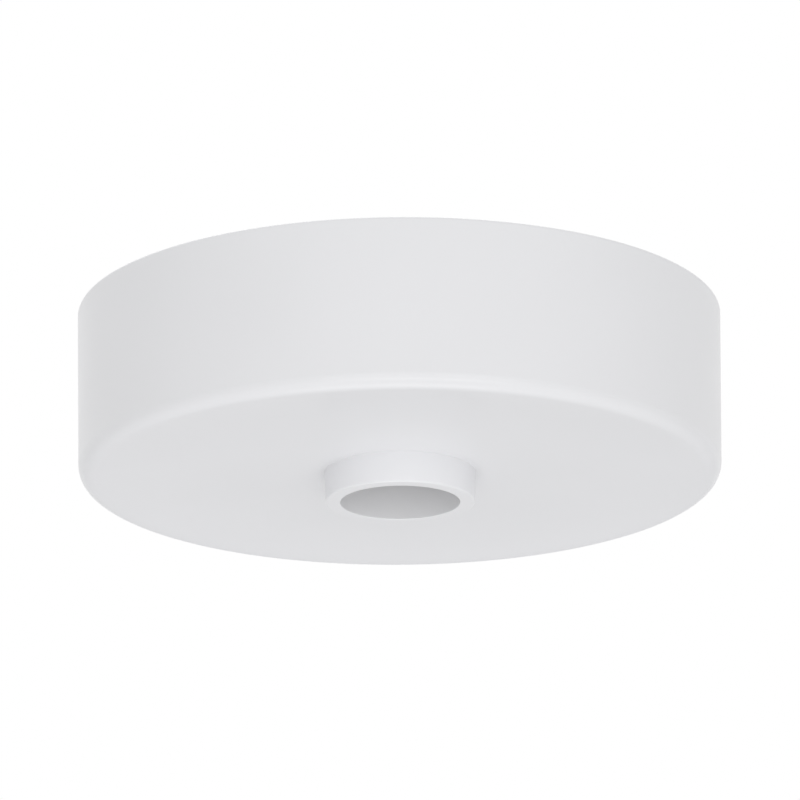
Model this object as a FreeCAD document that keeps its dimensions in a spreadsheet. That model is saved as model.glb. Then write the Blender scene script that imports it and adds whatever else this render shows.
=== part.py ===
import FreeCAD, Part
import math
import os
import re
import Sketcher
from FreeCAD import Placement, Rotation, Vector

# Electrical ceiling rose, in millimetres. The origin is the centre of the face that meets the
# ceiling, +Z points up into the ceiling, and the rose hangs below it. The terminal row runs along X.

# Driving dimensions, one cell each.
SIZES = {
    # Cover: a drum with a rounded foot, a dished face and a collar round the cord outlet.
    "cover_radius": 40.0,
    "cover_height": 21.3,
    "skirt_wall": 2.8,
    "foot_round": 1.75,
    "dish_depth": 0.9,
    "dish_flat_radius": 27.0,
    "face_wall": 2.2,
    "collar_radius": 9.4,
    "collar_draft": 0.3,
    "collar_drop": 3.0,
    "outlet_radius": 7.4,
    "lip_bevel": 0.35,
    # Base: a round plate with a ring that carries the cover's thread.
    "seat_clearance": 0.3,
    "thread_depth": 1.0,
    "plate_depth": 2.8,
    "back_recess": 0.6,
    "land_width": 3.4,
    "ring_depth": 9.5,
    "ring_wall": 2.4,
    # Slots for the two ceiling screws, at the spacing of a round conduit box.
    "fixing_spacing": 50.8,
    "slot_width": 4.5,
    "slot_length": 9.0,
    "slot_margin": 2.2,
    # Oblong opening for the cables from the ceiling.
    "entry_length": 20.0,
    "entry_width": 11.0,
    "entry_lip": 1.4,
    "entry_rise": 1.2,
    # Hooked posts that take the weight of the pendant cord.
    "grip_offset": 14.0,
    "grip_post": 2.4,
    "grip_width": 7.0,
    "grip_depth": 13.6,
    "grip_lip": 2.1,
    "grip_lip_depth": 1.5,
    "grip_slope": 0.9,
    # Terminal bars and the walled housings that they sit in.
    "terminal_pitch": 6.2,
    "bar_width": 6.0,
    "bar_height": 6.5,
    "bar_floor": 5.0,
    "bar_clearance": 0.15,
    "bar_chamfer": 0.35,
    "housing_wall": 1.5,
    "port_bevel": 0.8,
    "wall_drop": 1.0,
    "partition_wall": 1.6,
    "partition_rise": 3.5,
    "row_offset": 12.6,
    "wire_radius": 1.6,
    "wire_depth": 7.6,
    "port_margin": 0.4,
    # Slotted headless screws that clamp the wires.
    "screw_radius": 1.7,
    "screw_play": 0.05,
    "screw_rise": 2.6,
    "screw_length": 6.6,
    "screw_slot_width": 0.8,
    "screw_slot_depth": 1.0,
    # Countersunk screws that hold the bars down from the back.
    "holder_radius": 1.0,
    "holder_play": 0.1,
    "holder_head_radius": 1.95,
    "holder_sink": 0.3,
    "holder_bite": 2.2,
    "holder_slot_width": 0.55,
    "holder_slot_depth": 0.6,
}

# Sizes that follow from the driving ones, as expressions.
BORE = "(cover_radius - skirt_wall)"
FACE_EDGE = "(cover_radius - foot_round)"
FACE_TOP = "(cover_height - dish_depth)"
MOUTH = "(cover_height + collar_drop)"
SEAT = f"({BORE} - seat_clearance)"
CORE = f"({BORE} - thread_depth)"
RING_INNER = f"({CORE} - ring_wall)"
LAND_INNER = f"({SEAT} - land_width)"
GRIP_BACK = "(grip_offset + grip_post)"
GRIP_TIP = f"({GRIP_BACK} + grip_lip)"
POCKET_WIDTH = "(bar_width + 2 * bar_clearance)"
HOUSING_WIDTH = f"({POCKET_WIDTH} + 2 * housing_wall)"
BAR_FACE = "(bar_floor + bar_height)"
PORT_HALF = "(wire_radius + port_margin)"
HOUSING_DEPTH = f"({BAR_FACE} - wall_drop)"
HOLDER_TOP = "(back_recess + holder_sink)"

# Rows of bars: the side of the centre line that the row lies on, and each bar's terminals along X.
ROWS = (
    ("", {"neutral": 3, "loop": 3, "switch": 2}),
    ("-", {"earth": 2}),
)

# Turn of each terminal screw's slot from its neighbour's, in degrees.
SCREW_TURN = 37

# Flats that the cover's foot round is drawn with.
FOOT_FLATS = 3

doc = FreeCAD.newDocument("CeilingRose")
sheet = doc.addObject("Spreadsheet::Sheet", "Sizes")
for line, (size, number) in enumerate(SIZES.items(), start=1):
    sheet.set(f"A{line}", size)
    sheet.set(f"B{line}", str(number))
    sheet.setAlias(f"B{line}", size)
doc.recompute()


def cells(expression):
    """Writes each size in an expression as its cell of the sheet."""
    return re.sub(r"[a-z]+(?:_[a-z]+)+", lambda name: "Sizes." + name.group(), expression)


def value(expression):
    """Gives an expression's present value."""
    return float(sheet.evalExpression(cells(expression)))


def bind(thing, path, expression):
    """Ties a property to an expression of the sizes."""
    thing.setExpression(path, cells(expression))


def new_body(name, x="0", y="0", z="0", turn=0.0):
    """Starts a piece whose own origin lies at x, y, z, turned about Z."""
    body = doc.addObject("PartDesign::Body", name)
    body.Label = name
    body.Placement = Placement(Vector(), Rotation(Vector(0, 0, 1), turn))
    for axis, place in zip("xyz", (x, y, z)):
        bind(body, f"Placement.Base.{axis}", place)
    return body


def datum(body, role):
    """Finds one of a piece's own origin planes or axes."""
    return next(part for part in body.Origin.OriginFeatures if part.Role == role)


def new_sketch(body, name, plane, lift="0"):
    """Lays an empty sketch on an origin plane, moved along the plane's normal by lift."""
    sketch = body.newObject("Sketcher::SketchObject", f"{body.Name}_{name}_sketch")
    sketch.AttachmentSupport = [(datum(body, plane), "")]
    sketch.MapMode = "FlatFace"
    bind(sketch, "AttachmentOffset.Base.z", lift)
    return sketch


def dimension(sketch, constraint, expression):
    """Adds a dimension to a sketch and ties it to an expression."""
    index = sketch.addConstraint(constraint)
    bind(sketch, f"Constraints[{index}]", expression)


def hold(sketch, geometry, point, x, y):
    """Fixes a point of a sketch at x, y, on the axis itself where a coordinate is nought."""
    if x == "0":
        sketch.addConstraint(Sketcher.Constraint("PointOnObject", geometry, point, -2))
    else:
        dimension(sketch, Sketcher.Constraint("DistanceX", -1, 1, geometry, point, value(x)), x)
    if y == "0":
        sketch.addConstraint(Sketcher.Constraint("PointOnObject", geometry, point, -1))
    else:
        dimension(sketch, Sketcher.Constraint("DistanceY", -1, 1, geometry, point, value(y)), y)


def draw_outline(sketch, corners):
    """Draws a closed outline of straight edges."""
    places = [Vector(value(x), value(y), 0) for x, y in corners]
    ends = places[1:] + places[:1]
    edges = [sketch.addGeometry(Part.LineSegment(start, end), False) for start, end in zip(places, ends)]
    for index, (x, y) in enumerate(corners):
        sketch.addConstraint(Sketcher.Constraint("Coincident", edges[index - 1], 2, edges[index], 1))
        hold(sketch, edges[index], 1, x, y)


def draw_rectangle(sketch, low_x, low_y, high_x, high_y):
    """Draws a rectangle between two corners."""
    draw_outline(sketch, [(low_x, low_y), (high_x, low_y), (high_x, high_y), (low_x, high_y)])


def draw_circle(sketch, x, y, radius):
    """Draws a circle about x, y."""
    circle = Part.Circle(Vector(value(x), value(y), 0), Vector(0, 0, 1), value(radius))
    index = sketch.addGeometry(circle, False)
    hold(sketch, index, 3, x, y)
    dimension(sketch, Sketcher.Constraint("Radius", index, value(radius)), radius)


def draw_slot(sketch, x, length, width):
    """Draws a round-ended slot along the sketch's first axis, centred at x."""
    reach = f"(({length} - {width}) / 2)"
    radius = value(width) / 2
    quarter = math.pi / 2
    ends = []
    for sign, start in ((1, -quarter), (-1, quarter)):
        centre = Vector(value(x) + sign * value(reach), 0, 0)
        circle = Part.Circle(centre, Vector(0, 0, 1), radius)
        ends.append(sketch.addGeometry(Part.ArcOfCircle(circle, start, start + 2 * quarter), False))
    right, left = ends
    right_x = value(x) + value(reach)
    left_x = value(x) - value(reach)
    upper = sketch.addGeometry(
        Part.LineSegment(Vector(right_x, radius, 0), Vector(left_x, radius, 0)), False)
    lower = sketch.addGeometry(
        Part.LineSegment(Vector(left_x, -radius, 0), Vector(right_x, -radius, 0)), False)
    for before, after in ((right, upper), (upper, left), (left, lower), (lower, right)):
        sketch.addConstraint(Sketcher.Constraint("Tangent", before, 2, after, 1))
    dimension(sketch, Sketcher.Constraint("Radius", right, radius), f"{width} / 2")
    hold(sketch, right, 3, f"{x} + {reach}", "0")
    hold(sketch, left, 3, f"{x} - {reach}", "0")


def add_pad(body, name, sketch, length, down=False, midplane=False):
    """Raises a sketch into solid, along its normal or against it."""
    pad = body.newObject("PartDesign::Pad", f"{body.Name}_{name}")
    pad.Profile = sketch
    pad.Reversed = down
    pad.Midplane = midplane
    bind(pad, "Length", length)
    return pad


def add_pocket(body, name, sketch, length=None, up=False, midplane=False):
    """Cuts a sketch out, against its normal or along it, right through where no length is given."""
    pocket = body.newObject("PartDesign::Pocket", f"{body.Name}_{name}")
    pocket.Profile = sketch
    pocket.Reversed = up
    pocket.Midplane = midplane
    if length is None:
        pocket.Type = "ThroughAll"
    else:
        bind(pocket, "Length", length)
    return pocket


def add_revolution(body, name, sketch):
    """Turns a half section round the piece's Z axis."""
    turned = body.newObject("PartDesign::Revolution", f"{body.Name}_{name}")
    turned.Profile = sketch
    turned.ReferenceAxis = (datum(body, "Z_Axis"), [""])
    turned.Angle = 360
    return turned


def add_row(body, name, feature, spacing, count):
    """Repeats a feature along X."""
    pattern = body.newObject("PartDesign::LinearPattern", f"{body.Name}_{name}")
    pattern.Originals = [feature]
    pattern.Direction = (datum(body, "X_Axis"), [""])
    pattern.Occurrences = count
    bind(pattern, "Length", f"{spacing} * {count - 1}")
    body.Tip = pattern
    return pattern


def chamfer_edges(body, name, picks, size):
    """Chamfers the edges of the piece so far that picks accepts."""
    doc.recompute()
    base = body.Tip
    names = [f"Edge{number}" for number, edge in enumerate(base.Shape.Edges, start=1) if picks(edge)]
    chamfer = body.newObject("PartDesign::Chamfer", f"{body.Name}_{name}")
    chamfer.Base = (base, names)
    bind(chamfer, "Size", size)
    return chamfer


def foot_corners():
    """Gives the corners of the flats that follow the cover's foot round, from the skirt to the face."""
    corners = []
    for step in range(FOOT_FLATS + 1):
        turn = math.radians(90 * step / FOOT_FLATS)
        corners.append((f"({FACE_EDGE} + {math.cos(turn):.4f} * foot_round)",
                        f"-(cover_height - {1 - math.sin(turn):.4f} * foot_round)"))
    return corners


def build_cover():
    """Moulded cover: skirt, rounded foot, face dished to a flat middle, and cord collar."""
    body = new_body("cover")
    section = new_sketch(body, "section", "XZ_Plane")
    draw_outline(section, [
        (BORE, "0"),
        ("cover_radius", "0"),
        *foot_corners(),
        ("dish_flat_radius", f"-{FACE_TOP}"),
        ("collar_radius", f"-{FACE_TOP}"),
        ("(collar_radius - collar_draft)", f"-({MOUTH} - lip_bevel)"),
        ("(collar_radius - collar_draft - lip_bevel)", f"-{MOUTH}"),
        ("outlet_radius", f"-{MOUTH}"),
        ("outlet_radius", f"-({FACE_TOP} - face_wall)"),
        (BORE, f"-({FACE_TOP} - face_wall)"),
    ])
    add_revolution(body, "shell", section)
    return body


def row_length(bars):
    """Length of a housing that holds the given bars between end walls and partitions."""
    terminals = sum(bars.values())
    inside = f"{terminals} * terminal_pitch + {2 * len(bars)} * bar_clearance"
    return f"({inside} + {len(bars) - 1} * partition_wall + 2 * housing_wall)"


def bar_places(bars):
    """Gives each bar's centre along X, as an expression."""
    places = {}
    start = f"(housing_wall - {row_length(bars)} / 2)"
    for name, terminals in bars.items():
        half = f"(bar_clearance + {terminals} * terminal_pitch / 2)"
        places[name] = f"({start} + {half})"
        start = f"({places[name]} + {half} + partition_wall)"
    return places


def terminal_places(centre, terminals):
    """Gives each terminal's place along X on a bar."""
    return [f"({centre} + {step - (terminals - 1) / 2} * terminal_pitch)" for step in range(terminals)]


def holder_place(centre, terminals):
    """Gives the place along X of a bar's holding screw, midway between two terminals."""
    return f"({centre} + {(terminals % 2) / 2} * terminal_pitch)"


def add_terminal_housing(body, side, bars):
    """Walled housing for a row of bars, with partitions, pockets, wire ports and holes for the holders."""
    title = "_".join(bars)
    middle = f"{side}row_offset"
    half_length = f"{row_length(bars)} / 2"
    low = f"({middle} - {HOUSING_WIDTH} / 2)"
    high = f"({middle} + {HOUSING_WIDTH} / 2)"
    places = bar_places(bars)

    block = new_sketch(body, f"{title}_block", "XY_Plane", "-plate_depth")
    draw_rectangle(block, f"-{half_length}", low, half_length, high)
    add_pad(body, f"{title}_block", block, f"{HOUSING_DEPTH} - plate_depth", down=True)

    names = list(bars)
    if len(names) > 1:
        walls = new_sketch(body, f"{title}_partitions", "XY_Plane", f"-{HOUSING_DEPTH}")
        for name in names[:-1]:
            left = f"({places[name]} + {bars[name]} * terminal_pitch / 2 + bar_clearance)"
            draw_rectangle(walls, left, low, f"({left} + partition_wall)", high)
        add_pad(body, f"{title}_partitions", walls, "partition_rise", down=True)

    pockets = new_sketch(body, f"{title}_pockets", "XY_Plane", f"-{HOUSING_DEPTH}")
    for name, terminals in bars.items():
        half = f"({terminals} * terminal_pitch / 2 + bar_clearance)"
        draw_rectangle(pockets, f"({places[name]} - {half})", f"({middle} - {POCKET_WIDTH} / 2)",
                       f"({places[name]} + {half})", f"({middle} + {POCKET_WIDTH} / 2)")
    add_pocket(body, f"{title}_pockets", pockets, f"{HOUSING_DEPTH} - bar_floor", up=True)

    inner_wall = f"({low} + housing_wall / 2)" if side == "" else f"({high} - housing_wall / 2)"
    ports = new_sketch(body, f"{title}_ports", "XZ_Plane", f"-{inner_wall}")
    for name, terminals in bars.items():
        for place in terminal_places(places[name], terminals):
            draw_outline(ports, [
                (f"({place} - {PORT_HALF})", f"-{HOUSING_DEPTH}"),
                (f"({place} + {PORT_HALF})", f"-{HOUSING_DEPTH}"),
                (f"({place} + {PORT_HALF})", f"-(wire_depth - {PORT_HALF} + port_bevel)"),
                (f"({place} + {PORT_HALF} - port_bevel)", f"-(wire_depth - {PORT_HALF})"),
                (f"({place} - {PORT_HALF} + port_bevel)", f"-(wire_depth - {PORT_HALF})"),
                (f"({place} - {PORT_HALF})", f"-(wire_depth - {PORT_HALF} + port_bevel)"),
            ])
    add_pocket(body, f"{title}_ports", ports, "2 * housing_wall", midplane=True)

    shanks = new_sketch(body, f"{title}_holders", "XY_Plane", "-back_recess")
    for name, terminals in bars.items():
        draw_circle(shanks, holder_place(places[name], terminals), middle, "(holder_radius + holder_play)")
    doc.recompute()
    hole = body.newObject("PartDesign::Hole", f"{body.Name}_{title}_holders")
    hole.Profile = shanks
    hole.DepthType = "ThroughAll"
    hole.ThreadType = "None"
    bind(hole, "Diameter", "2 * (holder_radius + holder_play)")
    hole.HoleCutType = "Countersink"
    hole.HoleCutCountersinkAngle = 90
    bind(hole, "HoleCutDiameter", "2 * (holder_head_radius + holder_play + holder_sink)")


def add_fixing_slots(body):
    """Slots for the ceiling screws, each in a pad at the back that bears on the ceiling."""
    half = "(fixing_spacing / 2)"
    pad = new_sketch(body, "slot_pad", "XY_Plane", "-plate_depth / 2")
    for side in ("", "-"):
        draw_slot(pad, f"{side}{half}", "(slot_length + 2 * slot_margin)", "(slot_width + 2 * slot_margin)")
    add_pad(body, "slot_pad", pad, "plate_depth / 2")
    slot = new_sketch(body, "slot", "XY_Plane")
    for side in ("", "-"):
        draw_slot(slot, f"{side}{half}", "slot_length", "slot_width")
    add_pocket(body, "slot", slot, "plate_depth")


def add_cable_entry(body):
    """Oblong opening for the ceiling cables, with a raised lip on the room side."""
    lip = new_sketch(body, "entry_lip", "XY_Plane", "-plate_depth")
    draw_slot(lip, "0", "(entry_length + 2 * entry_lip)", "(entry_width + 2 * entry_lip)")
    add_pad(body, "entry_lip", lip, "entry_rise", down=True)
    entry = new_sketch(body, "entry", "XY_Plane")
    draw_slot(entry, "0", "entry_length", "entry_width")
    add_pocket(body, "entry", entry, "plate_depth + 2 * entry_rise")


def add_cord_grips(body):
    """Hooked post on each side of the entry: a core of the cord passes behind it and under its lip."""
    post = new_sketch(body, "grip", "XZ_Plane")
    draw_outline(post, [
        ("grip_offset", "-plate_depth"),
        ("grip_offset", "-grip_depth"),
        (GRIP_TIP, "-grip_depth"),
        (GRIP_TIP, "-(grip_depth - grip_lip_depth)"),
        (GRIP_BACK, "-(grip_depth - grip_lip_depth - grip_slope)"),
        (GRIP_BACK, "-plate_depth"),
    ])
    grip = add_pad(body, "grip", post, "grip_width", midplane=True)
    mirrored = body.newObject("PartDesign::Mirrored", f"{body.Name}_grips")
    mirrored.Originals = [grip]
    mirrored.MirrorPlane = (datum(body, "YZ_Plane"), [""])
    body.Tip = mirrored


def build_base():
    """Moulded base: plate, threaded ring, terminal housings, fixing slots, cable entry and cord grips."""
    body = new_body("base")
    section = new_sketch(body, "section", "XZ_Plane")
    draw_outline(section, [
        ("0", "-back_recess"),
        (LAND_INNER, "-back_recess"),
        (LAND_INNER, "0"),
        (SEAT, "0"),
        (SEAT, "-plate_depth"),
        (CORE, "-plate_depth"),
        (CORE, "-ring_depth"),
        (RING_INNER, "-ring_depth"),
        (RING_INNER, "-plate_depth"),
        ("0", "-plate_depth"),
    ])
    add_revolution(body, "plate", section)
    for side, bars in ROWS:
        add_terminal_housing(body, side, bars)
    add_fixing_slots(body)
    add_cable_entry(body)
    add_cord_grips(body)
    return body


def build_bar(name, terminals, x, y):
    """Brass bar with a wire hole and a tapped screw hole for each terminal, and a blind holding hole."""
    body = new_body(f"{name}_bar", x, y, "-bar_floor")
    block = new_sketch(body, "block", "XY_Plane")
    half = f"({terminals} * terminal_pitch / 2)"
    draw_rectangle(block, f"-{half}", "-bar_width / 2", half, "bar_width / 2")
    add_pad(body, "block", block, "bar_height", down=True)

    def long_edge(edge):
        return abs(edge.Length - value(f"{terminals} * terminal_pitch")) < 0.001

    chamfer_edges(body, "edges", long_edge, "bar_chamfer")
    first = terminal_places("0", terminals)[0]
    wire = new_sketch(body, "wire", "XZ_Plane")
    draw_circle(wire, first, "-(wire_depth - bar_floor)", "wire_radius")
    wire_hole = add_pocket(body, "wire", wire, "2 * bar_width", midplane=True)
    add_row(body, "wires", wire_hole, "terminal_pitch", terminals)
    tap = new_sketch(body, "tap", "XY_Plane", "-bar_height")
    draw_circle(tap, first, "0", "(screw_radius + screw_play)")
    tap_hole = add_pocket(body, "tap", tap, f"{BAR_FACE} - wire_depth", up=True)
    add_row(body, "taps", tap_hole, "terminal_pitch", terminals)
    blind = new_sketch(body, "blind", "XY_Plane")
    draw_circle(blind, holder_place("0", terminals), "0", "(holder_radius + screw_play)")
    add_pocket(body, "blind", blind, "holder_bite")
    return body


def add_driver_slot(body, radius, width, depth, up):
    """Cuts a straight slot for a screwdriver across the end of a screw."""
    slot = new_sketch(body, "slot", "XY_Plane")
    draw_rectangle(slot, f"-2 * {radius}", f"-{width} / 2", f"2 * {radius}", f"{width} / 2")
    add_pocket(body, "slot", slot, depth, up=up)


def build_terminal_screw(name, x, y, turn):
    """Slotted headless brass screw, backed off enough to let a wire in."""
    body = new_body(name, x, y, f"-({BAR_FACE} + screw_rise)", turn)
    shank = new_sketch(body, "shank", "XY_Plane")
    draw_circle(shank, "0", "0", "screw_radius")
    add_pad(body, "shank", shank, "screw_length")
    add_driver_slot(body, "screw_radius", "screw_slot_width", "screw_slot_depth", up=True)
    return body


def build_bar_screw(name, x, y, turn):
    """Countersunk slotted screw, sunk below the base's back, that bites into the bar."""
    body = new_body(name, x, y, f"-{HOLDER_TOP}", turn)
    tip = f"-(bar_floor + holder_bite - {HOLDER_TOP} - holder_sink)"
    section = new_sketch(body, "section", "XZ_Plane")
    draw_outline(section, [
        ("0", "0"),
        ("holder_head_radius", "0"),
        ("holder_radius", "-(holder_head_radius - holder_radius)"),
        ("holder_radius", tip),
        ("0", tip),
    ])
    add_revolution(body, "turned", section)
    add_driver_slot(body, "holder_head_radius", "holder_slot_width", "holder_slot_depth", up=False)
    return body


def build_terminals(side, bars):
    """Bars of a row with their terminal screws and holding screws."""
    pieces = []
    y = f"{side}row_offset"
    places = bar_places(bars)
    for name, terminals in bars.items():
        pieces.append(build_bar(name, terminals, places[name], y))
        for number, place in enumerate(terminal_places(places[name], terminals), start=1):
            turn = SCREW_TURN * (number + len(name))
            pieces.append(build_terminal_screw(f"{name}_screw_{number}", place, y, turn))
        pieces.append(build_bar_screw(f"{name}_bar_screw", holder_place(places[name], terminals), y,
                                      SCREW_TURN * len(name)))
    return pieces


def check_document(pieces):
    """Stops if any feature failed or any piece isn't one sound solid."""
    for thing in doc.Objects:
        if "Invalid" in thing.State or "Error" in thing.State:
            raise RuntimeError(f"{thing.Name} failed: {thing.State}")
    for piece in pieces:
        if piece.Shape.isNull() or not piece.Shape.isValid() or len(piece.Shape.Solids) != 1:
            raise RuntimeError(f"{piece.Label} isn't one valid solid")


def main():
    """Builds the rose and writes each piece to its own file."""
    pieces = [build_cover(), build_base()]
    for side, bars in ROWS:
        pieces.extend(build_terminals(side, bars))
    doc.recompute()
    check_document(pieces)
    os.makedirs("parts", exist_ok=True)
    for piece in pieces:
        piece.Shape.exportStep(f"parts/{piece.Label}.step")
        print(piece.Label, round(piece.Shape.Volume, 2))


main()
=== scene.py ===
"""Looks of a white moulded ceiling rose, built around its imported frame. Lengths are in metres.

The cover is turned from its own half section with true rounds. It and the base get their threads and
ejector marks. The base and the terminal bars keep their solids and get finishes. Every screw is turned
again with its thread and driver slot, and the clamping screws get chamfered ends. The rose hangs in a
plain white studio, seen from below.
"""
import logging
import math
from collections.abc import Callable, Sequence
from dataclasses import dataclass, field
from enum import Enum

import bmesh
import bpy
from mathutils import Matrix, Vector


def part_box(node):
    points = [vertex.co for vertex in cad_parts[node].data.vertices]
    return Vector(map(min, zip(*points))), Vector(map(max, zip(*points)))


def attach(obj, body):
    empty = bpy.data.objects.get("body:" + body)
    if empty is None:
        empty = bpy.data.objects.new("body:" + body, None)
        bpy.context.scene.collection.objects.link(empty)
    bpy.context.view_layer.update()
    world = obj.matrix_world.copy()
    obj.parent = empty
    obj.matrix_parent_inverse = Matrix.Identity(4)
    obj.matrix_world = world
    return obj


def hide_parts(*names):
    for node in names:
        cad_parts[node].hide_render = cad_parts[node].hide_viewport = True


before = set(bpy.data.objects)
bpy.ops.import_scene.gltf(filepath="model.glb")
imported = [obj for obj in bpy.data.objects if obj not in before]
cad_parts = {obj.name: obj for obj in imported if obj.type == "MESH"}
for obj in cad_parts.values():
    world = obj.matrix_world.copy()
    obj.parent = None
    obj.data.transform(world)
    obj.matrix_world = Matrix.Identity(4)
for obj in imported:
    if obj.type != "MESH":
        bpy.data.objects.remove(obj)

LOG = logging.getLogger("ceiling_rose")
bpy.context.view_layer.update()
MM = 0.001
WHITE = (1.0, 1.0, 1.0, 1.0)
BEVEL_SAMPLES = 6
THREAD_PITCH = 3.0 * MM
MARK_RADIUS = 2.0 * MM
MARK_RISE = 0.06 * MM
MARK_SIDES = 32
# Section of an ejector mark from its buried foot to its sunken middle, in shares of radius and rise.
MARK_SECTION = ((1.0, -1.0), (1.0, 0.6), (0.94, 1.0), (0.8, 1.0), (0.74, 0.5))

Colour = tuple[float, float, float]


class Lay(Enum):
    """Direction that the tool marks of a brass piece run in, as marks in a metre along each axis."""

    ALONG_BAR = (30.0, 1400.0, 1400.0)
    ROUND_AXIS = (260.0, 260.0, 3200.0)


class Graph:
    """Shader node tree of one material, with short calls to add and join nodes."""

    def __init__(self, name: str) -> None:
        """Starts a material with an empty tree.

        Args:
            name: the material's name.
        """
        self.material = bpy.data.materials.new(name)
        self.material.use_nodes = True
        self.tree = self.material.node_tree
        self.tree.nodes.clear()
        self.output = self.tree.nodes.new("ShaderNodeOutputMaterial")
        self.place = self.add("ShaderNodeTexCoord").outputs["Object"]

    def add(self, kind: str, **values: object) -> bpy.types.Node:
        """Adds a node.

        Args:
            kind: the node's type name.
            values: settings of the node by name, or values of its inputs where no setting has the name.

        Returns:
            The new node.
        """
        node = self.tree.nodes.new(kind)
        for key, value in values.items():
            if hasattr(node, key):
                setattr(node, key, value)
            else:
                node.inputs[key.replace("_", " ")].default_value = value
        return node

    def join(self, source: bpy.types.NodeSocket, target: bpy.types.NodeSocket) -> None:
        """Links an output to an input."""
        self.tree.links.new(source, target)

    def noise(self, scale: float, detail: float = 3.0,
              stretch: Sequence[float] | None = None) -> bpy.types.NodeSocket:
        """Adds a noise over the piece.

        Args:
            scale: features per metre, or one where stretch gives them.
            detail: octaves of finer noise.
            stretch: features per metre along each axis.

        Returns:
            The noise's value, from 0 to 1.
        """
        texture = self.add("ShaderNodeTexNoise", Scale=scale, Detail=detail)
        place = self.place
        if stretch is not None:
            mapping = self.add("ShaderNodeMapping", Scale=stretch)
            self.join(place, mapping.inputs["Vector"])
            place = mapping.outputs["Vector"]
        self.join(place, texture.inputs["Vector"])
        return texture.outputs["Fac"]

    def spread(self, source: bpy.types.NodeSocket, low: float, high: float,
               start: float = 0.3, end: float = 0.7) -> bpy.types.NodeSocket:
        """Maps a value between two limits onto a range.

        Args:
            source: the value.
            low: result at start and below.
            high: result at end and above.
            start: value that gives low.
            end: value that gives high.

        Returns:
            The mapped value.
        """
        node = self.add("ShaderNodeMapRange")
        for socket, value in zip(node.inputs[1:5], (start, end, low, high)):
            socket.default_value = value
        self.join(source, node.inputs["Value"])
        return node.outputs["Result"]

    def blend(self, share: bpy.types.NodeSocket, first: Colour, second: Colour) -> bpy.types.NodeSocket:
        """Mixes two colours.

        Args:
            share: how much of the second colour shows, from 0 to 1.
            first: colour at 0.
            second: colour at 1.

        Returns:
            The mixed colour.
        """
        node = self.add("ShaderNodeMix", data_type="RGBA")
        # The node has sockets of the same name for each kind of value, so the colours go by number.
        node.inputs[6].default_value = (*first, 1.0)
        node.inputs[7].default_value = (*second, 1.0)
        self.join(share, node.inputs[0])
        return node.outputs[2]

    def relief(self, height: bpy.types.NodeSocket, depth: float,
               edge: float, under: bpy.types.NodeSocket | None = None) -> bpy.types.NodeSocket:
        """Turns a height into a bumped normal over softened edges.

        Args:
            height: the height, from 0 to 1.
            depth: real height of the relief.
            edge: radius that sharp edges are softened with.
            under: a normal that the relief lies on, in place of the softened edges.

        Returns:
            The normal.
        """
        bump = self.add("ShaderNodeBump", Strength=1.0, Distance=depth)
        self.join(height, bump.inputs["Height"])
        if under is None and edge:
            under = self.add("ShaderNodeBevel", samples=BEVEL_SAMPLES, Radius=edge).outputs["Normal"]
        if under is not None:
            self.join(under, bump.inputs["Normal"])
        return bump.outputs["Normal"]


@dataclass(frozen=True)
class MouldedPlastic:
    """Pressed white plastic: an even body colour, a faint ripple and a very fine grain.

    Attributes:
        name: the material's name.
        colour: body colour.
        shade: colour of the faint flow clouds in the moulding.
        roughness: middle roughness of the surface.
        ripple: height of the slow ripple that the mould leaves.
        grain: height of the fine grain.
        edge: radius of the softened edges.
        polish: how far the roughness falls below its middle.
        wear: how far the roughness rises above its middle.
        cloud_scale: flow clouds in a metre.
        ripple_scale: ripples in a metre.
        grain_scale: grains in a metre.
        refraction: index of refraction.
    """

    name: str
    colour: Colour
    shade: Colour
    roughness: float
    ripple: float
    grain: float
    edge: float
    polish: float = 0.02
    wear: float = 0.03
    cloud_scale: float = 45.0
    ripple_scale: float = 110.0
    grain_scale: float = 2600.0
    refraction: float = 1.49

    def material(self) -> bpy.types.Material:
        """Builds the material.

        Returns:
            The material.
        """
        graph = Graph(self.name)
        clouds = graph.noise(self.cloud_scale, detail=2.0)
        slow = graph.noise(self.ripple_scale, detail=1.0)
        shader = graph.add("ShaderNodeBsdfPrincipled", IOR=self.refraction)
        graph.join(graph.blend(graph.spread(clouds, 0.0, 1.0), self.colour, self.shade),
                   shader.inputs["Base Color"])
        graph.join(graph.spread(slow, self.roughness - self.polish, self.roughness + self.wear),
                   shader.inputs["Roughness"])
        normal = graph.relief(slow, self.ripple, self.edge)
        if self.grain:
            fine = graph.noise(self.grain_scale, detail=2.0)
            normal = graph.relief(fine, self.grain, self.edge, normal)
        graph.join(normal, shader.inputs["Normal"])
        graph.join(shader.outputs["BSDF"], graph.output.inputs["Surface"])
        return graph.material


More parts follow.
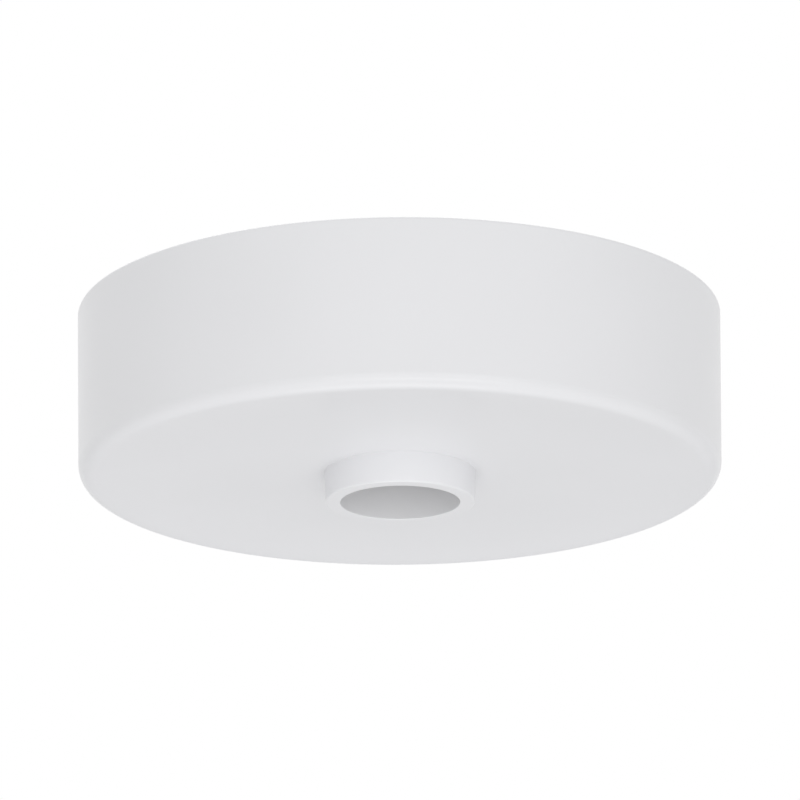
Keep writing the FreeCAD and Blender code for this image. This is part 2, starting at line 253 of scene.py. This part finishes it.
@dataclass(frozen=True)
class CutBrass:
    """Brass as a tool left it: bright metal with tool marks and thin brown tarnish.

    Attributes:
        name: the material's name.
        colour: bright metal.
        tarnish: colour of the thin oxide.
        cover: share of the surface that the oxide tints, from 0 to 1.
        roughness: middle roughness of the surface.
        lay: direction of the tool marks.
        marks: height of the tool marks.
        edge: radius of the softened edges.
        polish: how far the roughness falls below its middle.
        wear: how far the roughness rises above its middle.
        blotch_scale: blotches of oxide in a metre.
    """

    name: str
    colour: Colour
    tarnish: Colour
    cover: float
    roughness: float
    lay: Lay
    marks: float
    edge: float
    polish: float = 0.08
    wear: float = 0.12
    blotch_scale: float = 380.0

    def material(self) -> bpy.types.Material:
        """Builds the material.

        Returns:
            The material.
        """
        graph = Graph(self.name)
        blotches = graph.noise(self.blotch_scale, detail=4.0)
        marks = graph.noise(1.0, stretch=self.lay.value)
        shader = graph.add("ShaderNodeBsdfPrincipled", Metallic=1.0)
        graph.join(graph.blend(graph.spread(blotches, 0.0, self.cover), self.colour, self.tarnish),
                   shader.inputs["Base Color"])
        graph.join(graph.spread(marks, self.roughness - self.polish, self.roughness + self.wear),
                   shader.inputs["Roughness"])
        graph.join(graph.relief(marks, self.marks, self.edge), shader.inputs["Normal"])
        graph.join(shader.outputs["BSDF"], graph.output.inputs["Surface"])
        return graph.material


COVER_WHITE = MouldedPlastic("cover_white_polished", colour=(0.885, 0.887, 0.904),
                             shade=(0.87, 0.872, 0.888), roughness=0.30,
                             ripple=0.006 * MM, grain=0.0, edge=0.0)
# Inside of the cover: the same plastic with a rougher, duller finish. Its colour is painted a little
# darker and greyer than the outer white, as painted shade inside the hollow cover.
INSIDE_WHITE_PAINTED_SHADE = MouldedPlastic("cover_white_inside_painted_shade", colour=(0.87, 0.87, 0.88),
                              shade=(0.85, 0.85, 0.855), roughness=0.46,
                              ripple=0.006 * MM, grain=0.004 * MM, edge=0.2 * MM)
BASE_WHITE = MouldedPlastic("base_white_moulded", colour=(0.83, 0.83, 0.82),
                            shade=(0.80, 0.80, 0.785), roughness=0.44,
                            ripple=0.008 * MM, grain=0.004 * MM, edge=0.25 * MM)
BAR_BRASS = CutBrass("bar_brass_drawn", colour=(0.72, 0.54, 0.26), tarnish=(0.46, 0.30, 0.12),
                     cover=0.55, roughness=0.32, lay=Lay.ALONG_BAR, marks=0.008 * MM, edge=0.1 * MM)
SCREW_BRASS = CutBrass("screw_brass_turned", colour=(0.76, 0.59, 0.30), tarnish=(0.52, 0.36, 0.16),
                       cover=0.4, roughness=0.26, lay=Lay.ROUND_AXIS, marks=0.004 * MM, edge=0.05 * MM)


@dataclass(frozen=True)
class Corner:
    """Corner of a half section.

    Attributes:
        radius: distance from the axis.
        height: place along the axis.
        rounding: radius that the corner is rounded with.
    """

    radius: float
    height: float
    rounding: float = 0.0

    @property
    def spot(self) -> Vector:
        """Gives the corner as a point of the section."""
        return Vector((self.radius, self.height))


def rounded_section(corners: Sequence[Corner], steps: int = 10, guard: float = 0.1 * MM) -> list[Vector]:
    """Rounds the corners of a closed half section.

    Args:
        corners: the corners in order.
        steps: chords in each rounded corner.
        guard: distance beyond each round of a point that keeps the flat next to it flat.

    Returns:
        The section's points in order.
    """
    points: list[Vector] = []
    for index, corner in enumerate(corners):
        if not corner.rounding:
            points.append(corner.spot)
            continue
        neighbours = (corners[index - 1].spot, corners[(index + 1) % len(corners)].spot)
        before, after = ((spot - corner.spot).normalized() for spot in neighbours)
        half = before.angle(after) / 2
        reach = corner.rounding / math.tan(half)
        centre = corner.spot + (before + after).normalized() * (corner.rounding / math.sin(half))
        first = corner.spot + before * reach - centre
        last = corner.spot + after * reach - centre
        sweep = first.angle_signed(last)
        turns = (Matrix.Rotation(sweep * step / steps, 2) for step in range(steps + 1))
        points.append(corner.spot + before * (reach + guard))
        points.extend(centre + first @ turn for turn in turns)
        points.append(corner.spot + after * (reach + guard))
    return points


def new_piece(name: str, mesh: bpy.types.Mesh, crease: float = 40.0) -> bpy.types.Object:
    """Puts a mesh in the scene as a smooth-shaded piece.

    Args:
        name: the piece's name.
        mesh: its mesh.
        crease: angle in degrees above which an edge stays sharp.

    Returns:
        The new object.
    """
    mesh.shade_smooth()
    mesh.set_sharp_from_angle(angle=math.radians(crease))
    piece = bpy.data.objects.new(name, mesh)
    bpy.context.scene.collection.objects.link(piece)
    return piece


def mesh_from(name: str, shape: bmesh.types.BMesh) -> bpy.types.Mesh:
    """Closes an edit mesh into a mesh with its faces turned outwards.

    Args:
        name: the mesh's name.
        shape: the edit mesh, which is freed.

    Returns:
        The mesh.
    """
    bmesh.ops.recalc_face_normals(shape, faces=shape.faces)
    mesh = bpy.data.meshes.new(name)
    shape.to_mesh(mesh)
    shape.free()
    return mesh


def skin_rings(shape: bmesh.types.BMesh, rings: Sequence[Sequence[bmesh.types.BMVert]],
               closed: bool) -> list[bmesh.types.BMFace]:
    """Joins rings of vertices with faces.

    Args:
        shape: the edit mesh that holds the rings.
        rings: rings with as many vertices each, in order.
        closed: whether the last ring joins the first.

    Returns:
        The faces, one ring gap after the other.
    """
    faces = []
    pairs = list(zip(rings, rings[1:]))
    if closed:
        pairs.append((rings[-1], rings[0]))
    for lower, upper in pairs:
        count = len(lower)
        for spot in range(count):
            after = (spot + 1) % count
            faces.append(shape.faces.new((lower[spot], lower[after], upper[after], upper[spot])))
    return faces


def turned_mesh(name: str, section: Sequence[Vector], segments: int,
                inner: Callable[[Vector], bool] | None = None) -> bpy.types.Mesh:
    """Turns a closed half section round the Z axis.

    Args:
        name: the mesh's name.
        section: points of the section, as distance from the axis and height.
        segments: faces in a full turn.
        inner: says of a point of the section whether its face takes the second material.

    Returns:
        The mesh.
    """
    shape = bmesh.new()
    rings = []
    for spot in section:
        turns = (math.tau * step / segments for step in range(segments))
        rings.append([shape.verts.new((spot.x * math.cos(turn), spot.x * math.sin(turn), spot.y))
                      for turn in turns])
    faces = skin_rings(shape, rings, closed=True)
    if inner is not None:
        for index, spot in enumerate(section):
            middle = (spot + section[(index + 1) % len(section)]) / 2
            for face in faces[index * segments:(index + 1) * segments]:
                face.material_index = int(inner(middle))
    return mesh_from(name, shape)


@dataclass(frozen=True)
class ThreadRidge:
    """Moulded helical ridge that stands on a round wall.

    Attributes:
        wall: radius of the wall.
        crest: radius of the ridge's crest.
        pitch: climb of a full turn.
        start: height of the ridge's middle at turn nought.
        first_turn: turn at which the ridge begins.
        last_turn: turn at which it ends.
        root_width: width at the wall.
        crest_width: width at the crest.
        fade: turns over which each end rises from the wall.
        sink: depth of the root inside the wall.
        least: share of the height that the very ends keep.
    """

    wall: float
    crest: float
    pitch: float
    start: float
    first_turn: float
    last_turn: float
    root_width: float = 1.3 * MM
    crest_width: float = 0.7 * MM
    fade: float = 0.06
    sink: float = 0.05 * MM
    least: float = 0.02

    def mesh(self, name: str, steps_per_turn: int = 160) -> bpy.types.Mesh:
        """Builds the ridge.

        Args:
            name: the mesh's name.
            steps_per_turn: cross sections in a full turn.

        Returns:
            The mesh.
        """
        shape = bmesh.new()
        side = math.copysign(1.0, self.crest - self.wall)
        sunk = self.wall - side * self.sink
        steps = round((self.last_turn - self.first_turn) * steps_per_turn)
        rings = []
        for step in range(steps + 1):
            turn = self.first_turn + step / steps_per_turn
            left = min(turn - self.first_turn, self.last_turn - turn) / self.fade
            rise = math.sin(math.pi / 2 * min(max(left, 0.0), 1.0))
            crest = sunk + (self.crest - sunk) * max(rise, self.least)
            middle = self.start - self.pitch * turn
            across, along = math.cos(math.tau * turn), math.sin(math.tau * turn)
            corners = ((sunk, self.root_width / 2), (crest, self.crest_width / 2),
                       (crest, -self.crest_width / 2), (sunk, -self.root_width / 2))
            rings.append([shape.verts.new((radius * across, radius * along, middle + lift))
                          for radius, lift in corners])
        skin_rings(shape, rings, closed=False)
        shape.faces.new(rings[0])
        shape.faces.new(rings[-1])
        return mesh_from(name, shape)


def ejector_marks(name: str, places: Sequence[Sequence[float]], level: float,
                  rise: float) -> bpy.types.Object:
    """Builds the low round marks that ejector pins leave on a moulding.

    Args:
        name: the piece's name.
        places: centre of each mark.
        level: height of the face that they lie on.
        rise: how far they stand off it, with its sign.

    Returns:
        The piece.
    """
    shape = bmesh.new()
    for x, y in places:
        rings = []
        for reach, lift in MARK_SECTION:
            turns = (math.tau * step / MARK_SIDES for step in range(MARK_SIDES))
            rings.append([shape.verts.new((x + MARK_RADIUS * reach * math.cos(turn),
                                           y + MARK_RADIUS * reach * math.sin(turn), level + rise * lift))
                          for turn in turns])
        skin_rings(shape, rings, closed=False)
        shape.faces.new(rings[0])
        shape.faces.new(rings[-1])
    return new_piece(name, mesh_from(name, shape))


@dataclass
class Cover:
    """Cover of the rose: shell with cord collar, thread ridge and ejector marks.

    The outer radius and the depth come from the frame. The main sizes are the source's, and the drafts,
    the rounds and the blend of the dish are the finer ones that the photograph shows.

    Attributes:
        body: the body that it rides on.
        slot: the record's material slot; not used.
        collar_drop: drop of the collar below the foot.
        skirt_wall: thickness of the skirt.
        skirt_draft: how much the skirt narrows towards the foot.
        rim_round: round of the rim's outer edge.
        rim_inner_round: round of the rim's inner edge.
        foot_round: round between skirt and face.
        foot_reach: how far in from the skirt the face begins to dish, in foot rounds.
        dish_depth: depth of the dished face at its flat middle.
        dish_flat_radius: radius at which the dish's slope would meet its flat middle.
        dish_round: radius of the blend between the two.
        face_wall: thickness of the face.
        collar_radius: radius of the collar at its root.
        collar_draft: how much the collar narrows towards its lip.
        collar_fillet: fillet at the collar's root.
        lip_round: round of the collar's outer edge.
        outlet_radius: radius of the cord outlet.
        outlet_round: round of the outlet's edges.
        inner_round: round between bore and inner face.
        thread_crest: height of the thread over the bore.
        thread_start: height of the thread's middle at turn nought.
        thread_turns: first and last turn of the thread.
        marks_circle: radius of the circle that the ejector marks lie on.
        marks_turns: angle of each mark, in degrees.
        margin: how far a point may lie off bore or inner face and still count as inside.
        crease: angle above which the shell's edges stay sharp, in degrees.
        segments: faces in a full turn.
        radius: outer radius.
        mouth: depth of the collar's lip.
    """

    body: str = "cover_body"
    slot: str = "cover_white"
    collar_drop: float = 3.0 * MM
    skirt_wall: float = 2.8 * MM
    skirt_draft: float = 0.15 * MM
    rim_round: float = 0.36 * MM
    rim_inner_round: float = 0.25 * MM
    foot_round: float = 1.75 * MM
    foot_reach: float = 1.15
    dish_depth: float = 0.9 * MM
    dish_flat_radius: float = 29.0 * MM
    dish_round: float = 150.0 * MM
    face_wall: float = 2.2 * MM
    collar_radius: float = 9.4 * MM
    collar_draft: float = 0.15 * MM
    collar_fillet: float = 0.08 * MM
    lip_round: float = 0.25 * MM
    outlet_radius: float = 7.4 * MM
    outlet_round: float = 0.13 * MM
    inner_round: float = 1.2 * MM
    thread_crest: float = 0.75 * MM
    thread_start: float = -5.7 * MM
    thread_turns: tuple[float, float] = (-0.5, 1.4)
    marks_circle: float = 28.0 * MM
    marks_turns: Sequence[float] = (45.0, 135.0, 225.0, 315.0)
    margin: float = 0.1 * MM
    crease: float = 60.0
    segments: int = 288
    radius: float = field(init=False)
    mouth: float = field(init=False)

    def __post_init__(self) -> None:
        """Reads the outer radius and the lowest level from the frame."""
        low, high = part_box("cover")
        self.radius = (high.x - low.x) / 2
        self.mouth = -low.z

    @property
    def face_depth(self) -> float:
        """Gives the depth of the face's outer edge below the ceiling."""
        return self.mouth - self.collar_drop

    @property
    def inner_depth(self) -> float:
        """Gives the depth of the flat inside face below the ceiling."""
        return self.face_depth - self.dish_depth - self.face_wall

    @property
    def bore(self) -> float:
        """Gives the radius of the bore that carries the thread."""
        return self.radius - self.skirt_wall

    def section(self) -> list[Vector]:
        """Gives the shell's half section, from the rim round the outside to the bore.

        Returns:
            The section's points.
        """
        foot = self.radius - self.skirt_draft
        return rounded_section([
            Corner(self.bore, 0.0, self.rim_inner_round),
            Corner(self.radius, 0.0, self.rim_round),
            Corner(foot, -self.face_depth, self.foot_round),
            Corner(foot - self.foot_reach * self.foot_round, -self.face_depth),
            Corner(self.dish_flat_radius, self.dish_depth - self.face_depth, self.dish_round),
            Corner(self.collar_radius, self.dish_depth - self.face_depth, self.collar_fillet),
            Corner(self.collar_radius - self.collar_draft, -self.mouth, self.lip_round),
            Corner(self.outlet_radius, -self.mouth, self.outlet_round),
            Corner(self.outlet_radius, -self.inner_depth, self.outlet_round),
            Corner(self.bore, -self.inner_depth, self.inner_round),
        ])

    def is_inside(self, spot: Vector) -> bool:
        """Says whether a point of the section lies on the inside of the shell.

        Args:
            spot: distance from the axis and height.

        Returns:
            True for the bore and the inner face.
        """
        lowest = -self.inner_depth - self.margin
        return spot.x < self.bore + self.margin and lowest < spot.y < -self.margin

    def build(self) -> list[bpy.types.Object]:
        """Builds and dresses the cover.

        Returns:
            Its pieces.
        """
        mesh = turned_mesh("cover_shell", self.section(), self.segments, self.is_inside)
        shell = new_piece("cover_shell", mesh, self.crease)
        shell.data.materials.append(COVER_WHITE.material())
        # The bore and the inner face take the inside white, whose darker colour is painted shade.
        inside = INSIDE_WHITE_PAINTED_SHADE.material()
        shell.data.materials.append(inside)
        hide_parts("cover")
        ridge = ThreadRidge(self.bore, self.bore - self.thread_crest, THREAD_PITCH, self.thread_start,
                            *self.thread_turns)
        thread = new_piece("cover_thread", ridge.mesh("cover_thread"))
        places = [(self.marks_circle * math.cos(math.radians(turn)),
                   self.marks_circle * math.sin(math.radians(turn))) for turn in self.marks_turns]
        marks = ejector_marks("cover_ejector_marks", places, -self.inner_depth, MARK_RISE)
        for piece in (thread, marks):
            piece.data.materials.append(inside)
        for piece in (shell, thread, marks):
            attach(piece, self.body)
        return [shell, thread, marks]


@dataclass
class Base:
    """Base of the rose: the frame's moulding with its finish, thread ridge and ejector marks.

    Attributes:
        body: the body that it rides on.
        slot: the record's material slot; not used.
        core_radius: outer radius of the ring that carries the thread.
        thread_crest: height of the thread over the ring.
        thread_start: height of the thread's middle at turn nought.
        thread_turns: first and last turn of the thread.
        plate_depth: depth of the plate's lower face below the ceiling.
        marks_places: centre of each ejector mark.
    """

    body: str = "base_body"
    slot: str = "base_white"
    core_radius: float = 36.2 * MM
    thread_crest: float = 0.75 * MM
    thread_start: float = -4.2 * MM
    thread_turns: tuple[float, float] = (0.0, 1.45)
    plate_depth: float = 2.8 * MM
    marks_places: Sequence[Sequence[float]] = (
        (14.0 * MM, 24.0 * MM), (-14.0 * MM, 24.0 * MM),
        (20.0 * MM, -20.0 * MM), (-20.0 * MM, -20.0 * MM))

    def build(self) -> list[bpy.types.Object]:
        """Dresses the base and adds what the solid leaves out.

        Returns:
            Its pieces.
        """
        white = BASE_WHITE.material()
        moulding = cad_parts["base"]
        moulding.data.materials.clear()
        moulding.data.materials.append(white)
        ridge = ThreadRidge(self.core_radius, self.core_radius + self.thread_crest, THREAD_PITCH,
                            self.thread_start, *self.thread_turns)
        thread = new_piece("base_thread", ridge.mesh("base_thread"))
        marks = ejector_marks("base_ejector_marks", self.marks_places, -self.plate_depth, -MARK_RISE)
        for piece in (thread, marks):
            piece.data.materials.append(white)
            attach(piece, self.body)
        return [moulding, thread, marks]


@dataclass(frozen=True)
class ScrewCut:
    """Thread and driver slot of one kind of screw.

    Attributes:
        pitch: pitch of the thread.
        groove: depth of the thread's groove.
        thread_from: distance from the slotted end at which the thread begins.
        slot_width: width of the driver slot.
        slot_depth: depth of the driver slot.
    """

    pitch: float
    groove: float
    thread_from: float
    slot_width: float
    slot_depth: float


CLAMP_CUT = ScrewCut(pitch=0.6 * MM, groove=0.3 * MM, thread_from=0.3 * MM,
                     slot_width=0.8 * MM, slot_depth=1.0 * MM)
HOLDER_CUT = ScrewCut(pitch=0.4 * MM, groove=0.2 * MM, thread_from=1.2 * MM,
                      slot_width=0.55 * MM, slot_depth=0.6 * MM)


@dataclass(frozen=True)
class Screw:
    """Turned screw with a driver slot in one end.

    Attributes:
        node: CAD node that it stands for.
        outline: radius of the blank at a distance from the slotted end.
        length: length from the slotted end to the tip.
        cut: its thread and its driver slot.
        turn: angle of the slot about Z, in degrees.
        up: whether the slotted end faces up.
        rings_per_pitch: cross sections in one pitch.
        cutter_length: length of the block that cuts the slot, longer than any head is wide.
        crease: angle above which its edges stay sharp, in degrees.
    """

    node: str
    outline: Callable[[float], float]
    length: float
    cut: ScrewCut
    turn: float
    up: bool
    rings_per_pitch: int = 6
    cutter_length: float = 12.0 * MM
    crease: float = 35.0

    def blank(self, segments: int = 40) -> bpy.types.Mesh:
        """Builds the threaded blank about its own axis, with the slotted end at nought.

        Args:
            segments: faces in a full turn.

        Returns:
            The mesh.
        """
        shape = bmesh.new()
        direction = -1.0 if self.up else 1.0
        rise = self.cut.pitch / self.rings_per_pitch
        rings = []
        for step in range(round(self.length / rise) + 1):
            along = min(step * rise, self.length)
            ring = []
            for spot in range(segments):
                turn = spot / segments
                flank = abs(((along / self.cut.pitch - direction * turn) % 1.0) * 2 - 1)
                fade = min(max((along - self.cut.thread_from) / self.cut.pitch, 0.0), 1.0)
                radius = self.outline(along) - self.cut.groove * fade * flank
                ring.append(shape.verts.new((radius * math.cos(math.tau * turn),
                                             radius * math.sin(math.tau * turn), direction * along)))
            rings.append(ring)
        skin_rings(shape, rings, closed=False)
        shape.faces.new(rings[0])
        shape.faces.new(rings[-1])
        return mesh_from(self.node, shape)

    def cutter(self) -> bpy.types.Object:
        """Builds the block that cuts the driver slot.

        Returns:
            The block, about the screw's axis.
        """
        shape = bmesh.new()
        size = (self.cutter_length, self.cut.slot_width, 2 * self.cut.slot_depth)
        turned = Matrix.Rotation(math.radians(self.turn), 4, "Z")
        bmesh.ops.create_cube(shape, size=1.0, matrix=turned @ Matrix.Diagonal((*size, 1.0)))
        mesh = bpy.data.meshes.new("slot_cutter")
        shape.to_mesh(mesh)
        shape.free()
        block = bpy.data.objects.new("slot_cutter", mesh)
        bpy.context.scene.collection.objects.link(block)
        return block

    def build(self, material: bpy.types.Material, body: str, slot: str) -> bpy.types.Object:
        """Builds the screw in its place and dresses it.

        Args:
            material: its finish.
            body: the body that it rides on.
            slot: the record's material slot; not used.

        Returns:
            The screw.
        """
        low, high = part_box(self.node)
        blank = bpy.data.objects.new(f"{self.node}_blank", self.blank())
        bpy.context.scene.collection.objects.link(blank)
        block = self.cutter()
        driver_slot = blank.modifiers.new("driver_slot", "BOOLEAN")
        driver_slot.object = block
        driver_slot.solver = "EXACT"
        graph = bpy.context.evaluated_depsgraph_get()
        mesh = bpy.data.meshes.new_from_object(blank.evaluated_get(graph))
        for used in (blank, block):
            bpy.data.objects.remove(used)
        piece = new_piece(f"{self.node}_turned", mesh, self.crease)
        piece.location = ((low.x + high.x) / 2, (low.y + high.y) / 2, high.z if self.up else low.z)
        mesh.materials.clear()
        mesh.materials.append(material)
        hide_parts(self.node)
        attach(piece, body)
        return piece


@dataclass
class Terminals:
    """Brass bars, their clamping screws and the screws that hold the bars to the base.

    Attributes:
        body: the body that they ride on.
        groups: terminals of each bar.
        turn: angle that the driver slots are turned by from one to the next, in degrees.
        screw_chamfer: chamfer at both ends of a clamping screw.
        head_radius: radius of a countersunk head.
        head_edge: height of the head's upright edge.
        shank_radius: radius over a countersunk screw's thread.
    """

    body: str = "base_body"
    groups: dict[str, int] = field(
        default_factory=lambda: {"neutral": 3, "loop": 3, "switch": 2, "earth": 2})
    turn: float = 37.0
    screw_chamfer: float = 0.25 * MM
    head_radius: float = 1.95 * MM
    head_edge: float = 0.04 * MM
    shank_radius: float = 1.0 * MM

    def clamp_outline(self, radius: float, length: float) -> Callable[[float], float]:
        """Gives the blank's outline of a headless clamping screw, chamfered at both ends.

        Args:
            radius: radius over the thread.
            length: length of the screw.

        Returns:
            The radius at a distance from the slotted end.
        """
        def outline(along: float) -> float:
            """Gives the radius at a distance from the slotted end."""
            edge = min(along, length - along)
            return radius - max(self.screw_chamfer - edge, 0.0)
        return outline

    def holder_outline(self, along: float) -> float:
        """Gives the radius of a countersunk screw at a distance from the top of its head.

        Args:
            along: the distance.

        Returns:
            The radius.
        """
        return max(self.head_radius - max(along, self.head_edge), self.shank_radius)

    def dress_bars(self) -> list[bpy.types.Object]:
        """Gives the frame's bars their finish.

        Returns:
            The bars.
        """
        brass = BAR_BRASS.material()
        bars = [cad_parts[f"{name}_bar"] for name in self.groups]
        for bar in bars:
            bar.data.materials.clear()
            bar.data.materials.append(brass)
        return bars

    def build(self) -> list[bpy.types.Object]:
        """Dresses the bars and builds the screws.

        Returns:
            All the brass pieces.
        """
        pieces = self.dress_bars()
        brass = SCREW_BRASS.material()
        for name, terminals in self.groups.items():
            for number in range(1, terminals + 1):
                node = f"{name}_screw_{number}"
                low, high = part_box(node)
                length = high.z - low.z
                outline = self.clamp_outline((high.x - low.x) / 2, length)
                turn = self.turn * (number + len(name))
                screw = Screw(node, outline, length, CLAMP_CUT, turn, up=False)
                pieces.append(screw.build(brass, self.body, "screw_brass"))
            node = f"{name}_bar_screw"
            low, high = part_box(node)
            holder = Screw(node, self.holder_outline, high.z - low.z, HOLDER_CUT,
                           self.turn * len(name), up=True)
            pieces.append(holder.build(brass, self.body, "screw_brass"))
        return pieces


@dataclass(frozen=True)
class PhotoCamera:
    """Camera at the photograph's viewing angle, below the rose and in front of it.

    Attributes:
        rise: angle that the view climbs at, in degrees.
        roll: turn of the picture, in degrees.
        distance: distance from the point looked at.
        scale: how many widths of the picture a metre takes at that point.
        aim_depth: depth of the point looked at below the ceiling.
        aside: how far the picture's middle lies to the right of that point.
        above: how far it lies above it.
        sensor: width of the sensor in millimetres.
        nearest: distance from which things are shown.
    """

    rise: float = 16.95
    roll: float = 0.366
    distance: float = 1.2
    scale: float = 10.06
    aim_depth: float = 10.64 * MM
    aside: float = 0.06 * MM
    above: float = -0.33 * MM
    sensor: float = 36.0
    nearest: float = 0.05

    def build(self) -> bpy.types.Object:
        """Places the camera.

        Returns:
            The camera.
        """
        data = bpy.data.cameras.new("photo_camera")
        data.sensor_width = self.sensor
        data.lens = data.sensor_width * self.scale * self.distance
        data.clip_start = self.nearest
        climb = Matrix.Rotation(math.pi / 2 + math.radians(self.rise), 4, "X")
        facing = climb @ Matrix.Rotation(math.radians(-self.roll), 4, "Z")
        axes = facing.to_3x3()
        middle = Vector((0.0, 0.0, -self.aim_depth)) + axes @ Vector((self.aside, self.above, 0.0))
        stand = middle + axes @ Vector((0.0, 0.0, self.distance))
        camera = bpy.data.objects.new("photo_camera", data)
        camera.matrix_world = Matrix.Translation(stand) @ facing
        bpy.context.scene.collection.objects.link(camera)
        bpy.context.scene.camera = camera
        return camera


@dataclass(frozen=True)
class SoftLamp:
    """Oblong lamp that faces the middle of the rose.

    Attributes:
        name: the lamp's name.
        place: its middle.
        width: its level side.
        height: its other side.
        power: its power in watts.
        target: the point that it faces.
    """

    name: str
    place: Sequence[float]
    width: float
    height: float
    power: float
    target: Sequence[float] = (0.0, 0.0, -12.0 * MM)

    def build(self) -> bpy.types.Object:
        """Places the lamp.

        Returns:
            The lamp.
        """
        data = bpy.data.lights.new(self.name, "AREA")
        data.shape = "RECTANGLE"
        data.size = self.width
        data.size_y = self.height
        data.energy = self.power
        lamp = bpy.data.objects.new(self.name, data)
        lamp.location = self.place
        aim = Vector(self.target) - Vector(self.place)
        lamp.rotation_euler = aim.to_track_quat("-Z", "Y").to_euler()
        bpy.context.scene.collection.objects.link(lamp)
        return lamp


@dataclass
class Studio:
    """Plain studio: pale floor well below the rose, white surroundings, soft lamps and the camera.

    Attributes:
        floor_depth: depth of the floor below the ceiling.
        floor_side: side of the square floor.
        floor_colour: colour of its paper.
        floor_roughness: roughness of its paper.
        ambient: strength of the light from all round.
        camera: the camera.
        lamps: the lamps.
    """

    floor_depth: float = 2.4
    floor_side: float = 60.0
    floor_colour: Colour = (0.93, 0.93, 0.935)
    floor_roughness: float = 0.9
    ambient: float = 0.635
    camera: PhotoCamera = PhotoCamera()
    lamps: Sequence[SoftLamp] = (
        SoftLamp("front_lamp", (0.22, -1.5, -0.3), width=2.0, height=0.9, power=5.0),
        SoftLamp("lower_lamp", (0.18, -1.25, -1.05), width=1.5, height=0.16, power=3.3),
        SoftLamp("low_lamp", (0.0, -0.005, -0.22), width=0.12, height=0.12, power=0.056),
        SoftLamp("top_lamp", (-0.3, 0.6, 1.3), width=1.6, height=1.6, power=5.5),
    )

    def build_floor(self) -> bpy.types.Object:
        """Lays the floor.

        Returns:
            The floor.
        """
        shape = bmesh.new()
        bmesh.ops.create_grid(shape, x_segments=1, y_segments=1, size=self.floor_side / 2)
        floor = new_piece("studio_floor", mesh_from("studio_floor", shape))
        floor.location.z = -self.floor_depth
        graph = Graph("studio_floor_paper")
        shader = graph.add("ShaderNodeBsdfPrincipled", Roughness=self.floor_roughness)
        shader.inputs["Base Color"].default_value = (*self.floor_colour, 1.0)
        graph.join(shader.outputs["BSDF"], graph.output.inputs["Surface"])
        floor.data.materials.append(graph.material)
        return floor

    def build_surroundings(self) -> None:
        """Makes the world white to the eye and to reflections, and a plain even light to the rest."""
        world = bpy.data.worlds.new("white_room")
        world.use_nodes = True
        tree = world.node_tree
        tree.nodes.clear()
        path = tree.nodes.new("ShaderNodeLightPath")
        seen = [path.outputs[name] for name in ("Is Camera Ray", "Is Glossy Ray", "Is Transmission Ray")]
        share = seen[0]
        for other in seen[1:]:
            larger = tree.nodes.new("ShaderNodeMath")
            larger.operation = "MAXIMUM"
            tree.links.new(share, larger.inputs[0])
            tree.links.new(other, larger.inputs[1])
            share = larger.outputs[0]
        lighting = tree.nodes.new("ShaderNodeBackground")
        lighting.inputs["Color"].default_value = WHITE
        lighting.inputs["Strength"].default_value = self.ambient
        backdrop = tree.nodes.new("ShaderNodeBackground")
        backdrop.inputs["Color"].default_value = WHITE
        choice = tree.nodes.new("ShaderNodeMixShader")
        tree.links.new(share, choice.inputs[0])
        tree.links.new(lighting.outputs[0], choice.inputs[1])
        tree.links.new(backdrop.outputs[0], choice.inputs[2])
        output = tree.nodes.new("ShaderNodeOutputWorld")
        tree.links.new(choice.outputs[0], output.inputs["Surface"])
        bpy.context.scene.world = world

    def build(self) -> None:
        """Builds the floor, surroundings, lamps and camera."""
        self.build_floor()
        self.build_surroundings()
        for lamp in self.lamps:
            lamp.build()
        self.camera.build()
        bpy.context.scene.view_settings.view_transform = "Standard"


def main() -> None:
    """Builds the studio and each sub-assembly and reports their pieces."""
    logging.basicConfig(level=logging.INFO, format="%(name)s: %(message)s")
    Studio().build()
    for assembly in (Cover(), Base(), Terminals()):
        for piece in assembly.build():
            LOG.info("%s: %s, %d faces", type(assembly).__name__, piece.name, len(piece.data.polygons))


if __name__ == "__main__":
    main()
